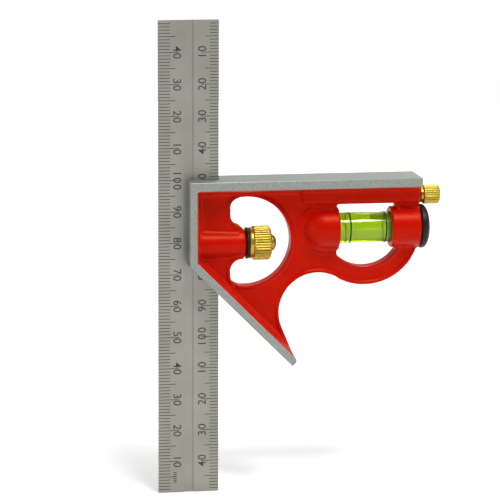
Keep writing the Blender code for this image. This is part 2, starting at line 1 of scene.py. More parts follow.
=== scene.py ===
"""The looks of a six inch combination square: a cast head with a level, a rule, a clamp nut and a scriber.

Everything below is laid out in millimetres from the left end of the head's 90 degree face:
x runs along that face, y away from the viewer, z up, with z = 0 on the face. to_object moves it into
the frame.
"""
from math import acos, atan2, cos, pi, radians, sin, sqrt, tan
import bmesh
import bpy
import numpy as np
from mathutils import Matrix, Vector


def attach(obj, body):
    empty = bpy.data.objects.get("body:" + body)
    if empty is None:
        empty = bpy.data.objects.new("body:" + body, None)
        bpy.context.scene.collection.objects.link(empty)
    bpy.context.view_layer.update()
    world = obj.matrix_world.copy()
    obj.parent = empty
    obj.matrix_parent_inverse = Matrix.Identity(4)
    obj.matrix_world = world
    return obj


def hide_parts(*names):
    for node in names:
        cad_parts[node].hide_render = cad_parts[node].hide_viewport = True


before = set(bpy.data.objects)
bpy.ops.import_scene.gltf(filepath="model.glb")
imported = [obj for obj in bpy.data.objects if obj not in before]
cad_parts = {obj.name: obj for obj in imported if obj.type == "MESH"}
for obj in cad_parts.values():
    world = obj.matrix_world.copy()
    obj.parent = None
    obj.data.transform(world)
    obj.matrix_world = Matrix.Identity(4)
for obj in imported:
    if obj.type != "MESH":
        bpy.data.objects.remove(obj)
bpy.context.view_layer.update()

MM = 0.001
INCH = 25.4
FAR = 100.0

# ---- sizes, the same as the CAD's unless a comment says otherwise ---------------------------
HEAD_LENGTH = 74.0
HALF_DEPTH = 7.5
ORIGIN_X = HEAD_LENGTH / 2
RIM_TOP = 2.8
RIM_LEFT = 2.3
RIM_MITRE = 2.4
RIM_DRAFT = 1.5
WEB_HALF = 1.9
LIP_HALF = 2.4
LIP_WIDTH = 1.0
LIP_ROUND = 0.7                # this and the next four only here: the CAD's casting has plainer edges
LIP_FILLET = 0.6
WEB_FILLET = 1.6
OPENING_ROUND = 0.4
BOSS_FILLETS = (1.2, 1.2, 1.0, 1.0)
MITRE_DROP = 26.4
TIP_REACH = 91.7
TIP_ROUND = 1.1
SPARE_METAL = 1.0              # what the casting has on its working faces before they are ground
EDGE_BREAK = 0.14              # only here: the small chamfer round each ground face

BLADE_LENGTH = 150.0
BLADE_WIDTH = 19.0
BLADE_HALF = 0.5
BLADE_INSIDE = 10.0
BLADE_BELOW = 100.0
BLADE_LEFT = BLADE_INSIDE - BLADE_WIDTH
BLADE_MIDDLE = BLADE_INSIDE - BLADE_WIDTH / 2
GROOVE_WIDTH = 3.0
GROOVE_DEPTH = 0.4
CORNER_ROUND = 0.6             # only here: the CAD's blade has sharp corners
SLOT_SIDE_GAP = 0.13           # these two are a little more than the CAD's, to keep the meshed
SLOT_END_GAP = 0.25            # corners of the slot off the blade

VIAL_X = 56.5
VIAL_Z = -16.4
WINDOW_RADIUS = 12.2
LOBE_RADIUS = 18.0
THROAT_X = 41.4
THROAT_Z = -42.6
THROAT_RADIUS = 12.4
THROAT_TURN = radians(22.5)
HOLE_X = 18.6
HOLE_Z = -19.6
HOLE_RADIUS = 14.15
HOLE_LEFT_X = 13.5

BOLT_Z = -20.5
BOLT_BORE = 2.6
BOLT_BORE_END_X = 30.0
BOLT_BOSS_RADIUS = 4.82        # at x = 0, from where the boss tapers
BOLT_BOSS_TAPER = 0.0419
BOLT_BOSS_END_X = 18.4
SPRING_BORE = 3.0
SPRING_BORE_X = 11.8
WASHER_THICKNESS = 0.85        # 0.4 less than the CAD's, to let the nut's collar start sooner
NUT_X = BOLT_BOSS_END_X + 1.45
NUT_COLLAR_X = NUT_X - 0.4     # 0.4 further left than the CAD's
NUT_RIB_LEFT_X = NUT_X + 0.9   # 0.6 further left
NUT_RIB_RIGHT_X = 26.6         # 0.3 further left
NUT_NOSE_LENGTH = 1.85         # ends 0.05 further right
NUT_RADIUS = 5.4
NUT_BORE = 2.1
NUT_BORE_END_X = 26.7          # 0.05 further left
NUT_RIBS = 38                  # the CAD's nut has 40

VIAL_RADIUS = 4.8
VIAL_LEFT_X = 42.2
VIAL_RIGHT_X = 72.6
CHAMBER_RADIUS = 3.9
CHAMBER_LEFT_X = 45.5
VIAL_BOSS_RADIUS = 6.65
VIAL_BOSS_FACE_X = 48.0
VIAL_BOSS_CENTRE_X = 43.9
VIAL_HOUSING_X = 64.7
NOSE_SQUEEZE = 0.84            # the boss's nose is longer than it is round
NOSE_COLLAR_WIDTH = 1.5        # the collar on the web round the nose is only here
NOSE_COLLAR_HEIGHT = 0.35
PRESS_FIT = 0.05
RING_MIDDLE_X = 57.2
RING_GAP = 11.4
BUBBLE_X = 61.6
BUBBLE_LENGTH = 6.4
BUBBLE_HALF_WIDTH = 1.9        # flatter and wider than the CAD's, which is 1.2 in radius
BUBBLE_HALF_HEIGHT = 1.25
BUBBLE_GAP = 0.08

SCRIBER_Z = -6.3
SCRIBER_BAR_LEFT_X = 36.0
SCRIBER_BAR_BOTTOM = -8.4
SCRIBER_BAR_HALF = 3.6
SCRIBER_TIP_X = 39.0
SCRIBER_BORE = 1.05
SCRIBER_BUSH_X = 66.5
SCRIBER_BUSH_BORE = 1.8
KNOB_X = HEAD_LENGTH + 0.4
KNOB_RIGHT_X = 80.7
KNOB_RADIUS = 3.05
KNOB_RIBS = 26                 # the CAD's knob has 28


# ---- outlines -----------------------------------------------------------------------------
def arc(centre_x, centre_z, radius, start, end, steps):
    """Points on an arc; angles in radians, counter-clockwise from +x."""
    turns = [start + (end - start) * i / steps for i in range(steps + 1)]
    return [(centre_x + radius * cos(t), centre_z + radius * sin(t)) for t in turns]


def rounded(corners, steps=6):
    """Corners given as (x, z, radius) become a polygon with those corners rounded."""
    points = []
    for i, (x, z, radius) in enumerate(corners):
        here = Vector((x, z))
        if radius == 0:
            points.append((x, z))
            continue
        back = (Vector(corners[i - 1][:2]) - here).normalized()
        ahead = (Vector(corners[(i + 1) % len(corners)][:2]) - here).normalized()
        half = back.angle(ahead) / 2
        run = radius / tan(half)
        centre = here + (back + ahead).normalized() * (radius / sin(half))
        first = here + back * run - centre
        sweep = (here + ahead * run - centre).angle_signed(first)
        for k in range(steps + 1):
            turn = sweep * k / steps
            points.append((centre.x + first.x * cos(turn) - first.y * sin(turn),
                           centre.y + first.x * sin(turn) + first.y * cos(turn)))
    return points


def lower_curve(offset, end):
    """The hollow under the vial and the lobe round it, from the hollow's run-off to an angle."""
    meet = atan2(THROAT_Z - VIAL_Z, THROAT_X - VIAL_X)
    curve = arc(THROAT_X, THROAT_Z, THROAT_RADIUS + offset, pi + THROAT_TURN, meet + pi, 30)
    return curve + arc(VIAL_X, VIAL_Z, LOBE_RADIUS - offset, meet, end, 30)[1:]


def head_outline(spare):
    """The outside of the head, with spare metal on the three faces that are ground flat."""
    corner_drop = MITRE_DROP + spare * sqrt(2) - spare
    curve = lower_curve(0.0, radians(-35))
    turn = THROAT_TURN
    run = (TIP_REACH - (curve[0][0] - curve[0][1])) / (sin(turn) + cos(turn))
    tip_x = (TIP_REACH - MITRE_DROP - spare * sqrt(2)) / 2
    tip = rounded([(-spare, -corner_drop, 0),
                   (tip_x, tip_x - TIP_REACH, 0),
                   (curve[0][0] + run * sin(turn), curve[0][1] - run * cos(turn), TIP_ROUND),
                   (curve[0][0], curve[0][1], 0)])
    right_end = [(HEAD_LENGTH - 0.5, -22.6), (HEAD_LENGTH, -21.8), (HEAD_LENGTH, spare)]
    return tip[:-1] + curve + right_end + [(-spare, spare)]


def pocket_outline():
    """The area inside the bare border, drawn far past the open sides of the head."""
    mitre = MITRE_DROP - RIM_MITRE * sqrt(2)
    far = HEAD_LENGTH + 20
    return rounded([(RIM_LEFT, -RIM_TOP, 0.6), (RIM_LEFT, -mitre - RIM_LEFT, 0.8),
                    (far, -mitre - far, 0), (far, -RIM_TOP, 0)])


def opening_outline():
    """The C shaped opening that gives fingers room round the clamp nut."""
    corner_x = HOLE_LEFT_X + 3.0
    start = acos((corner_x - HOLE_X) / HOLE_RADIUS)
    outline = arc(HOLE_X, HOLE_Z, HOLE_RADIUS, -start, start, 60)
    outline += arc(corner_x, HOLE_Z + 10.7, 3.0, radians(110), radians(185), 8)
    outline += arc(HOLE_LEFT_X + 3.6, BOLT_Z + 9.4, 3.6, radians(190), radians(262), 6)
    outline += [(BOLT_BOSS_END_X - 0.6, BOLT_Z + 4.6), (BOLT_BOSS_END_X - 0.6, BOLT_Z - 4.0)]
    outline += arc(HOLE_LEFT_X + 3.9, BOLT_Z - 8.7, 4.0, radians(85), radians(170), 6)
    outline += arc(corner_x, HOLE_Z - 10.7, 3.0, radians(175), radians(250), 8)
    return outline


def window_outline():
    """The round window over the vial, cut level along its top by the scriber bar."""
    start = acos((SCRIBER_BAR_BOTTOM + 0.4 - VIAL_Z) / WINDOW_RADIUS)
    return arc(VIAL_X, VIAL_Z, WINDOW_RADIUS, pi / 2 + start, pi * 2.5 - start, 60)


def lower_bead_outline():
    """The raised bead that follows the lower edge of the head."""
    outer = lower_curve(-1.0, radians(-24))
    inner = lower_curve(LIP_WIDTH, radians(-24))
    reach = 9.0
    run = (reach * sin(THROAT_TURN), -reach * cos(THROAT_TURN))
    first = (outer[0][0] + run[0], outer[0][1] + run[1])
    last = (inner[0][0] + run[0], inner[0][1] + run[1])
    return [first] + outer + inner[::-1] + [last]


# ---- the casting, as distances --------------------------------------------------------------
def polygon_distance(x, z, outline):
    """Distance to a closed outline, negative inside it."""
    nearest = np.full(x.shape, FAR * FAR)
    inside = np.zeros(x.shape, bool)
    for (ax, az), (bx, bz) in zip(outline, outline[1:] + outline[:1]):
        ex, ez = bx - ax, bz - az
        along = np.clip(((x - ax) * ex + (z - az) * ez) / (ex * ex + ez * ez), 0, 1)
        nearest = np.minimum(nearest, (x - ax - ex * along) ** 2 + (z - az - ez * along) ** 2)
        if az != bz:
            inside ^= ((az > z) != (bz > z)) & (x < ax + (z - az) * ex / ez)
    return np.where(inside, -1, 1) * np.sqrt(nearest)


def joined(a, b, fillet):
    """Both shapes, with a fillet where they meet."""
    reach = np.maximum(fillet - np.abs(a - b), 0)
    return np.minimum(a, b) - reach * reach / (4 * fillet)


def common(a, b, rounding):
    """What two shapes share, with its edges rounded."""
    return -joined(-a, -b, rounding)


def cut(a, b, rounding):
    """The first shape less the second, with its edges rounded."""
    return common(a, -b, rounding)


def past_nose_centre(x):
    """How far a place is into the round nose of the vial's blind boss, squeezed to make the nose long."""
    return np.maximum(VIAL_BOSS_CENTRE_X - x, 0) * NOSE_SQUEEZE


def boss_distances(x, deep, z):
    """The vial's two bosses, the clamp boss and the scriber bar."""
    from_vial = np.sqrt(deep ** 2 + (z - VIAL_Z) ** 2)
    past_nose = past_nose_centre(x)
    blind_end = np.sqrt(from_vial ** 2 + past_nose ** 2) - VIAL_BOSS_RADIUS
    blind_end = common(blind_end, x - VIAL_BOSS_FACE_X, 0.5)
    housing = common(from_vial - VIAL_BOSS_RADIUS + 0.15, VIAL_HOUSING_X - x, 0.5)
    housing = common(housing, x - HEAD_LENGTH, 0.5)
    from_bolt = np.sqrt(deep ** 2 + (z - BOLT_Z) ** 2)
    clamp = common(from_bolt - BOLT_BOSS_RADIUS + BOLT_BOSS_TAPER * x, x - BOLT_BOSS_END_X, 0.6)
    clamp = np.maximum(clamp, 1.0 - x)
    bar = common(deep - SCRIBER_BAR_HALF, SCRIBER_BAR_BOTTOM - z, 1.4)
    bar = common(bar, SCRIBER_BAR_LEFT_X - x, 1.6)
    bar = common(bar, x - HEAD_LENGTH, 0.4)
    bar = np.maximum(bar, z + 1.5)
    return blind_end, housing, clamp, bar


def bore_distance(x, deep, z):
    """Everything drilled or milled into the casting."""
    slot = np.maximum(deep - BLADE_HALF - SLOT_SIDE_GAP, x - BLADE_INSIDE - SLOT_END_GAP)
    from_bolt = np.sqrt(deep ** 2 + (z - BOLT_Z) ** 2)
    bolt = np.maximum(from_bolt - BOLT_BORE, x - BOLT_BORE_END_X)
    spring = np.maximum(np.maximum(from_bolt - SPRING_BORE, SPRING_BORE_X - x), x - BOLT_BORE_END_X)
    from_vial = np.sqrt(deep ** 2 + (z - VIAL_Z) ** 2)
    vial = np.maximum(from_vial - VIAL_RADIUS - PRESS_FIT, VIAL_LEFT_X - PRESS_FIT - x)
    from_scriber = np.sqrt(deep ** 2 + (z - SCRIBER_Z) ** 2)
    scriber = np.maximum(from_scriber - SCRIBER_BORE, SCRIBER_TIP_X - 0.5 - x)
    bush = np.maximum(from_scriber - SCRIBER_BUSH_BORE, SCRIBER_BUSH_X - PRESS_FIT - x)
    nearest = np.minimum(slot, bolt)
    for other in (spring, vial, scriber, bush):
        nearest = np.minimum(nearest, other)
    return nearest


def corner_rib_distance(x, deep, z):
    """The short rib from the opening's lower left corner towards the mitre's border."""
    rib_z = np.clip(z, -37.0, -32.5)
    return common(np.sqrt((x - 13.9) ** 2 + (z - rib_z) ** 2) - 0.6, deep - LIP_HALF, LIP_ROUND)


def nose_collar_distance(x, deep, z):
    """The low collar on the web round the nose of the vial's blind boss."""
    collar = np.sqrt((z - VIAL_Z) ** 2 + past_nose_centre(x) ** 2) - VIAL_BOSS_RADIUS - NOSE_COLLAR_WIDTH
    collar = np.maximum(collar, x - VIAL_BOSS_FACE_X + 0.6)
    return common(collar, deep - WEB_HALF - NOSE_COLLAR_HEIGHT, 0.35)


def head_distance(x, y, z):
    """Distance to the casting's surface, before its flat faces are ground."""
    deep = np.abs(y)
    inner = polygon_distance(x, z, pocket_outline())
    opening = polygon_distance(x, z, opening_outline())
    window = polygon_distance(x, z, window_outline())
    low_bead = polygon_distance(x, z, lower_bead_outline())
    outside = polygon_distance(x, z, head_outline(SPARE_METAL))
    climb = np.clip((deep - WEB_HALF) / (HALF_DEPTH - WEB_HALF), 0, 1.2)
    pocket = common(inner + RIM_DRAFT * (1 - climb), WEB_HALF - deep, WEB_FILLET)
    metal = cut(outside + 0 * deep, pocket, 0.3)
    bead = np.minimum(np.minimum(opening, window) - LIP_WIDTH, low_bead)
    metal = joined(metal, common(bead, deep - LIP_HALF, LIP_ROUND), LIP_FILLET)
    metal = joined(metal, corner_rib_distance(x, deep, z), LIP_FILLET)
    metal = common(metal, outside, 0.5)
    metal = cut(cut(metal, opening, OPENING_ROUND), window, OPENING_ROUND)
    metal = joined(metal, nose_collar_distance(x, deep, z), 0.3)
    for boss, fillet in zip(boss_distances(x, deep, z), BOSS_FILLETS):
        metal = joined(metal, boss, fillet)
    return np.maximum(metal, -bore_distance(x, deep, z))


def surface_net(distance, low, high, step):
    """Quads that follow the zero of a distance function, symmetric about y = 0."""
    xs = np.arange(low[0], high[0], step)[:, None, None]
    half = np.arange(0, high[1], step)[None, :, None]
    zs = np.arange(low[2], high[2], step)[None, None, :]
    field = distance(xs + 0 * zs, half, zs + 0 * xs)
    field = np.concatenate([field[:, :0:-1], field], axis=1)
    origin = np.array([low[0], -half.ravel()[-1], low[2]])
    size = [n - 1 for n in field.shape]
    corners = [(i, j, k) for i in (0, 1) for j in (0, 1) for k in (0, 1)]
    inside = field < 0
    count = sum(inside[i:i + size[0], j:j + size[1], k:k + size[2]].astype(np.int8)
                for i, j, k in corners)
    active = (count > 0) & (count < 8)
    cells = np.argwhere(active)
    number = np.full(active.shape, -1)
    number[active] = np.arange(len(cells))
    total = np.zeros((len(cells), 3))
    hits = np.zeros(len(cells))
    for a in corners:
        for axis in range(3):
            if a[axis]:
                continue
            b = tuple(1 if n == axis else c for n, c in enumerate(a))
            va = field[tuple((cells + a).T)]
            vb = field[tuple((cells + b).T)]
            crossed = (va < 0) != (vb < 0)
            share = va[crossed] / (va[crossed] - vb[crossed])
            total[crossed] += np.array(a) + share[:, None] * (np.array(b) - np.array(a))
            hits += crossed
    points = (cells + total / hits[:, None]) * step + origin
    quads = []
    for axis in range(3):
        u, v = (axis + 1) % 3, (axis + 2) % 3
        first = np.take(inside, range(size[axis]), axis)
        second = np.take(inside, range(1, size[axis] + 1), axis)
        spots = np.argwhere(first != second)
        spots = spots[(spots[:, u] > 0) & (spots[:, v] > 0)
                      & (spots[:, u] < size[u]) & (spots[:, v] < size[v])]
        ring = []
        for du, dv in ((1, 1), (0, 1), (0, 0), (1, 0)):
            cell = spots.copy()
            cell[:, u] -= du
            cell[:, v] -= dv
            ring.append(number[tuple(cell.T)])
        quad = np.stack(ring, 1)
        flip = ~first[tuple(spots.T)]
        quad[flip] = quad[flip][:, ::-1]
        quads.append(quad)
    return points, np.concatenate(quads)


def settled(points, distance):
    """Moves the points onto the exact surface, along its slope."""
    nudge = 0.02
    here = distance(*points.T)
    slope = np.stack([(distance(*(points + nudge * axis).T) - here) / nudge for axis in np.eye(3)], 1)
    length = np.maximum((slope ** 2).sum(1), 0.3)
    move = np.clip(here / length, -0.1, 0.1)
    return points - move[:, None] * slope


# ---- mesh helpers ---------------------------------------------------------------------------
def to_object(name, builder, surfaces, smooth=True):
    """Closes a bmesh laid out in millimetres into a named object in the frame."""
    for vertex in builder.verts:
        vertex.co = (vertex.co - Vector((ORIGIN_X, 0, 0))) * MM
    mesh = bpy.data.meshes.new(name)
    builder.to_mesh(mesh)
    builder.free()
    for surface in surfaces:
        mesh.materials.append(surface)
    if smooth:
        mesh.set_sharp_from_angle(angle=radians(35))
    thing = bpy.data.objects.new(name, mesh)
    bpy.context.scene.collection.objects.link(thing)
    return thing


def placed(thing, body, slot_name, *nodes):
    """Attaches a piece to the body that carries it and hides the CAD parts that it stands for; slot_name,
    the finish it takes, is not used.
    """
    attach(thing, body)
    if nodes:
        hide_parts(*nodes)
    return thing


def skin(builder, rings, closed):
    """Joins rings of points with quads; a ring of one point gives a fan."""
    pairs = list(zip(rings, rings[1:]))
    if closed:
        pairs.append((rings[-1], rings[0]))
    for first, second in pairs:
        count = max(len(first), len(second))
        for k in range(count):
            j = (k + 1) % count
            if len(first) == 1:
                builder.faces.new((first[0], second[k], second[j]))
            elif len(second) == 1:
                builder.faces.new((first[k], second[0], first[j]))
            else:
                builder.faces.new((first[k], second[k], second[j], first[j]))


def turned(name, profile, axis_z, surface, segments=96, reach=None):
    """A profile [(x, radius), ...] turned about an axis along x.

    reach(x, radius, angle) gives the true radius there, for ribs. A profile that doesn't start
    on the axis is a closed loop.
    """
    builder = bmesh.new()
    rings = []
    for x, radius in profile:
        if radius == 0:
            rings.append([builder.verts.new((x, 0, axis_z))])
            continue
        ring = []
        for k in range(segments):
            angle = 2 * pi * k / segments
            out = reach(x, radius, angle) if reach else radius
            ring.append(builder.verts.new((x, out * sin(angle), axis_z + out * cos(angle))))
        rings.append(ring)
    skin(builder, rings, profile[0][1] != 0)
    bmesh.ops.recalc_face_normals(builder, faces=builder.faces)
    for face in builder.faces:
        face.smooth = True
    return to_object(name, builder, [surface])


def curved(profile, corners, steps=5):
    """A turned profile with some of its corners rounded: corners is {index: radius}."""
    points = [(x, r, corners.get(i, 0)) for i, (x, r) in enumerate(profile)]
    return rounded(points, steps)


# ---- materials --------------------------------------------------------------------------------
class Nodes:
    """A material's node tree, with short calls to add to it."""

    def __init__(self, name, **values):
        self.material = bpy.data.materials.new(name)
        self.material.use_nodes = True
        self.tree = self.material.node_tree
        self.shader = self.tree.nodes["Principled BSDF"]
        self.place = self.add("ShaderNodeTexCoord").outputs["Object"]
        for key, value in values.items():
            self.shader.inputs[key.replace("_", " ")].default_value = value

    def add(self, kind, inputs=None, **settings):
        node = self.tree.nodes.new(kind)
        for key, value in settings.items():
            setattr(node, key, value)
        for key, value in (inputs or {}).items():
            if isinstance(value, bpy.types.NodeSocket):
                self.tree.links.new(value, node.inputs[key])
            else:
                node.inputs[key].default_value = value
        return node

    def stretched(self, scale):
        """The place on the object, scaled along each axis, for directional grain."""
        return self.add("ShaderNodeMapping", {"Vector": self.place, "Scale": scale}).outputs["Vector"]

    def noise(self, scale, detail=3.0, rough=0.5, vector=None):
        return self.add("ShaderNodeTexNoise", {"Vector": vector or self.place, "Scale": scale,
                                               "Detail": detail, "Roughness": rough}).outputs["Fac"]

    def span(self, value, low, high, out_low, out_high):
        """A value moved from one span to another, and clamped."""
        return self.add("ShaderNodeMapRange", {"Value": value, "From Min": low, "From Max": high,
                                               "To Min": out_low, "To Max": out_high}).outputs["Result"]

    def ramp(self, value, stops):
        node = self.add("ShaderNodeValToRGB", {"Fac": value})
        while len(node.color_ramp.elements) < len(stops):
            node.color_ramp.elements.new(0.5)
        for element, (position, colour) in zip(node.color_ramp.elements, stops):
            element.position = position
            element.color = (*colour, 1.0)
        return node.outputs["Color"]

    def link(self, output, socket):
        self.tree.links.new(output, self.shader.inputs[socket])

    def bump(self, height, strength, distance):
        inputs = {"Height": height, "Strength": strength, "Distance": distance * MM}
        node = self.add("ShaderNodeBump", inputs)
        self.link(node.outputs["Normal"], "Normal")


def red_enamel():
    """Red enamel on a casting: faint orange peel, orange gleams, and a slow drift in depth of colour."""
    m = Nodes("red_enamel", Specular_IOR_Level=0.38, Specular_Tint=(1.0, 0.24, 0.08, 1.0),
              Sheen_Weight=0.20, Sheen_Roughness=0.35, Sheen_Tint=(1.0, 0.20, 0.04, 1.0))
    reds = [(0.3, (0.40, 0.0016, 0.0005)), (0.7, (0.47, 0.0028, 0.0008))]
    m.link(m.ramp(m.noise(160, 4), reds), "Base Color")
    m.link(m.span(m.noise(900, 3), 0.3, 0.7, 0.30, 0.38), "Roughness")
    m.bump(m.noise(1300, 2), 0.25, 0.04)
    return m.material


def machined_iron():
    """Ground iron: fine grit lines and a cast mottle."""
    m = Nodes("machined_iron", Metallic=0.75)
    mottle = m.noise(1500, 5, 0.7)
    m.link(m.ramp(mottle, [(0.3, (0.22, 0.235, 0.215)), (0.7, (0.36, 0.375, 0.345))]), "Base Color")
    m.link(m.span(mottle, 0.3, 0.7, 0.36, 0.5), "Roughness")
    m.bump(m.noise(1, 4, 0.6, m.stretched((700, 5000, 700))), 0.35, 0.03)
    return m.material


def satin_steel():
    """The rule's satin steel, ground along its length."""
    m = Nodes("satin_steel", Metallic=0.75)
    grain = m.noise(1, 4, 0.65, m.stretched((9000, 9000, 60)))
    cloud = m.noise(90, 3)
    m.link(m.ramp(cloud, [(0.3, (0.29, 0.285, 0.25)), (0.7, (0.34, 0.333, 0.295))]), "Base Color")
    m.link(m.span(grain, 0.3, 0.7, 0.34, 0.46), "Roughness")
    m.bump(grain, 0.25, 0.02)
    return m.material


def etched_black():
    """The black fill in the rule's graduations."""
    m = Nodes("etched_black")
    blacks = [(0.3, (0.016, 0.016, 0.015)), (0.7, (0.045, 0.044, 0.04))]
    m.link(m.ramp(m.noise(3000, 3), blacks), "Base Color")
    m.link(m.span(m.noise(5000, 2), 0.3, 0.7, 0.5, 0.75), "Roughness")
    return m.material


def brass():
    """Turned brass with fine tool marks round it and a little tarnish."""
    m = Nodes("brass", Metallic=1.0)
    tarnish = m.noise(700, 4, 0.6)
    marks = m.noise(1, 3, 0.6, m.stretched((5000, 300, 300)))
    m.link(m.ramp(tarnish, [(0.3, (0.40, 0.285, 0.040)), (0.72, (0.52, 0.385, 0.065))]), "Base Color")
    m.link(m.span(marks, 0.3, 0.7, 0.30, 0.38), "Roughness")
    m.bump(marks, 0.02, 0.01)
    return m.material


def black_moulding(name, tone, rough):
    """Black rubber or plastic with a fine moulded skin."""
    m = Nodes(name, Specular_IOR_Level=0.25)
    pores = m.noise(2200, 3)
    high = tuple(1.6 * t for t in tone)
    m.link(m.ramp(m.noise(500, 3), [(0.3, tone), (0.7, high)]), "Base Color")
    m.link(m.span(pores, 0.3, 0.7, rough - 0.05, rough + 0.08), "Roughness")
    m.bump(pores, 0.25, 0.03)
    return m.material


def plain_steel(name, low, high, rough):
    """Bright or oiled steel with fine grain."""
    m = Nodes(name, Metallic=0.95)
    grain = m.noise(1, 3, 0.6, m.stretched((7000, 900, 900)))
    m.link(m.ramp(m.noise(900, 3), [(0.3, low), (0.7, high)]), "Base Color")
    m.link(m.span(grain, 0.3, 0.7, rough - 0.06, rough + 0.08), "Roughness")
    m.bump(grain, 0.2, 0.02)
    return m.material


def clear_acrylic():
    """The polished acrylic barrel, faintly tinted."""
    m = Nodes("clear_acrylic", Transmission_Weight=1.0, IOR=1.38, Specular_IOR_Level=0.12)
    m.link(m.ramp(m.noise(200, 2), [(0.3, (0.78, 0.88, 0.22)), (0.7, (0.84, 0.92, 0.29))]), "Base Color")
    m.link(m.span(m.noise(900, 2), 0.3, 0.7, 0.05, 0.10), "Roughness")
    return m.material


def green_spirit():
    """The yellow-green spirit."""
    m = Nodes("green_spirit", Transmission_Weight=0.72, IOR=1.36)
    m.link(m.ramp(m.noise(150, 2), [(0.3, (0.44, 0.63, 0.010)), (0.7, (0.52, 0.70, 0.020))]), "Base Color")
    m.link(m.span(m.noise(600, 2), 0.3, 0.7, 0.08, 0.16), "Roughness")
    return m.material


def bubble_air():
    """The bubble, tinted a darker, duller green than the spirit: painted shade for the dark reflections in
    the air.
    """
    m = Nodes("bubble_air", Transmission_Weight=0.9, IOR=1.2)
    # painted shade: this tint is darker than the spirit's and stands in for the dark reflections that the
    # bubble shows
    m.link(m.ramp(m.noise(300, 2), [(0.3, (0.22, 0.26, 0.03)), (0.7, (0.34, 0.38, 0.06))]), "Base Color")
    m.link(m.span(m.noise(900, 2), 0.3, 0.7, 0.03, 0.08), "Roughness")
    return m.material


# ---- the head -------------------------------------------------------------------------------
# Each ground face as a point on it and the way it faces: the front and back borders, the 90 degree
# face, the left face and the 45 degree face.
GROUND_FACES = [((0, -HALF_DEPTH, 0), (0, -1, 0)), ((0, HALF_DEPTH, 0), (0, 1, 0)),
                ((0, 0, 0), (0, 0, 1)), ((0, 0, 0), (-1, 0, 0)),
                ((0, 0, -MITRE_DROP), (-sqrt(0.5), 0, -sqrt(0.5)))]
MESH_STEP = 0.32


def inward_step(vertex, outward):
    """How the edge of a ground face moves in from its walls, one edge break from each of them."""
    walls = []
    for edge in vertex.link_edges:
        if edge.is_boundary:
            wall = edge.link_faces[0].normal
            walls.append((wall - outward * wall.dot(outward)).normalized())
    first, second = walls[0], walls[-1]
    return -(first + second) * (EDGE_BREAK / max(1 + first.dot(second), 0.4))


def grind(builder, point, normal):
    """Cuts one face of the head flat and breaks its edge, and marks what it bares."""
    outward = Vector(normal)
    everything = builder.verts[:] + builder.edges[:] + builder.faces[:]
    made = bmesh.ops.bisect_plane(builder, geom=everything, dist=1e-5, clear_outer=True,
                                  plane_co=Vector(point) - outward * EDGE_BREAK, plane_no=outward)
    rim = [v for v in made["geom_cut"] if isinstance(v, bmesh.types.BMVert)]
    bmesh.ops.remove_doubles(builder, verts=rim, dist=0.05)
    builder.normal_update()
    level = (Vector(point) - outward * EDGE_BREAK).dot(outward)
    border = [edge for edge in builder.edges if edge.is_boundary
              and all(abs(vertex.co.dot(outward) - level) < 0.001 for vertex in edge.verts)]
    raised = {}
    for vertex in {v for edge in border for v in edge.verts}:
        raised[vertex] = builder.verts.new(vertex.co + outward * EDGE_BREAK + inward_step(vertex, outward))
    edge_of_face = []
    for edge in border:
        loop = edge.link_loops[0]
        ahead, behind = loop.vert, loop.link_loop_next.vert
        face = builder.faces.new((behind, ahead, raised[ahead], raised[behind]))
        face.material_index = 1
        face.smooth = True
        edge_of_face.append(builder.edges.get((raised[ahead], raised[behind])))
    filled = bmesh.ops.triangle_fill(builder, edges=edge_of_face, use_beauty=False, normal=outward)["geom"]
    for face in filled:
        if isinstance(face, bmesh.types.BMFace):
            face.material_index = 1
            if face.normal.dot(outward) < 0:
                face.normal_flip()


def head_casting(paint, bare):
    """The casting, with its border and working faces ground bare."""
    step = MESH_STEP
    low = (-1.6, 0, -62.0)
    high = (HEAD_LENGTH + 1.0, HALF_DEPTH + 1.2, 1.6)
    points, quads = surface_net(head_distance, low, high, step)
    for _ in range(2):
        points = settled(points, head_distance)
    mesh = bpy.data.meshes.new("casting")
    mesh.from_pydata(points.tolist(), [], quads.tolist())
    builder = bmesh.new()
    builder.from_mesh(mesh)
    bpy.data.meshes.remove(mesh)
    for face in builder.faces:
        face.smooth = True
    for point, normal in GROUND_FACES:
        grind(builder, point, normal)
    head = to_object("cast_head", builder, [paint, bare])
    return placed(head, "head", "red_enamel", "head_casting")


# ---- the blade --------------------------------------------------------------------------------
TICK_DEPTH = 0.04
TICK_WIDTH = 0.21
TEXT_HALF = 0.02               # half the thickness of the numbers
TEXT_PROUD = 0.004             # how far they stand off the face, so that they show
METRIC_SIZE = 3.6              # heights of the numbers and of the unit
INCH_SIZE = 4.0
UNIT_SIZE = 2.2


def metric_ticks():
    """Millimetre graduations on the front: (height above the lower end, left length, right length)."""
    ticks = []
    for i in range(1, int(BLADE_LENGTH)):
        left = 6.6 if i % 10 == 0 else 5.4 if i % 5 == 0 else 3.7
        right = 5.6 if i % 10 == 0 else 4.4 if i % 5 == 0 else 2.8
        ticks.append((i, left, right))
    return ticks


def inch_ticks():
    """Graduations in sixteenths of an inch on the back, in the same form."""
    lengths = {1: 2.6, 2: 3.6, 4: 4.6, 8: 5.6, 16: 6.6}
    pitch = INCH / 16
    ticks = []
    for i in range(1, int(BLADE_LENGTH / pitch) + 1):
        length = lengths[max(part for part in lengths if i % part == 0)]
        ticks.append((i * pitch, length, length))
    return ticks


